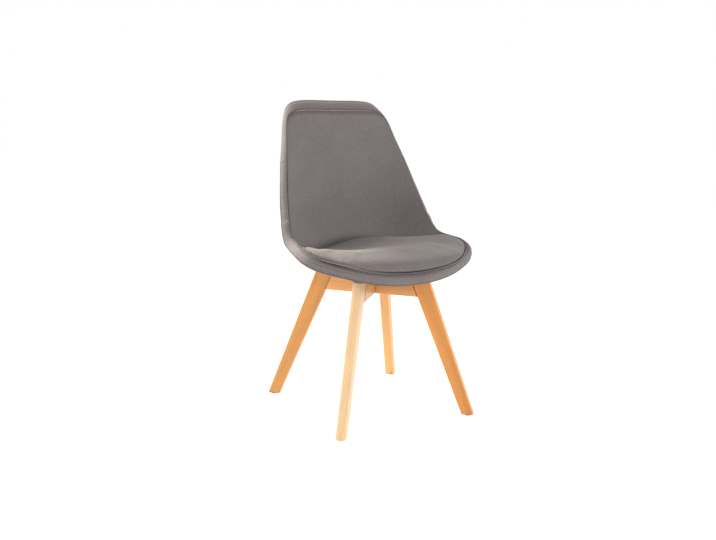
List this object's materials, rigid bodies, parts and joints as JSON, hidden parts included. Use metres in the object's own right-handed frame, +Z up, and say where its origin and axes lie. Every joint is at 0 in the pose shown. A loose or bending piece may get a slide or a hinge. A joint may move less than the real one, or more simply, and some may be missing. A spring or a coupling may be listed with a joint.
{
  "type": "upholstered bucket chair",
  "caption": "Upholstered bucket shell chair with a boxed edge band and a crowned seat cushion, on crossed wooden rails with splayed, tapered legs.",
  "frame": {"origin": "on the floor, under the middle of the chair's bounding box", "axes": "+Z up; the sitter faces -Y; the sitter's left is +X"},
  "size_m": [0.5174, 0.4556, 0.8202],
  "materials": {
    "cover_cloth": "matte fine plain weave, warm grey",
    "lining_cloth": "matte dark lining",
    "foam": "open-cell foam, cream",
    "shell_plastic": "moulded, off-white",
    "beech": "clear satin lacquer over beech",
    "steel": "zinc plated",
    "brass": "plain",
    "black_plastic": "matte black"
  },
  "bodies": {
    "root": {"front_cover": "cover_cloth", "rear_cover": "cover_cloth", "side_band": "cover_cloth", "cushion_cover": "cover_cloth", "cushion_piping": "cover_cloth", "cushion_lining": "lining_cloth", "front_foam": "foam", "rear_foam": "foam", "cushion_foam": "foam", "seat_shell": "shell_plastic", "lower_rail": "beech", "upper_rail": "beech", "leg_rear_left": "beech", "glide_rear_left": "black_plastic", "seat_screw_rear_left": "steel", "washer_rear_left": "steel", "insert_rear_left": "brass", "leg_rear_right": "beech", "glide_rear_right": "black_plastic", "seat_screw_rear_right": "steel", "washer_rear_right": "steel", "insert_rear_right": "brass", "leg_front_right": "beech", "glide_front_right": "black_plastic", "seat_screw_front_right": "steel", "washer_front_right": "steel", "insert_front_right": "brass", "leg_front_left": "beech", "glide_front_left": "black_plastic", "seat_screw_front_left": "steel", "washer_front_left": "steel", "insert_front_left": "brass"}
  },
  "joints": []
}
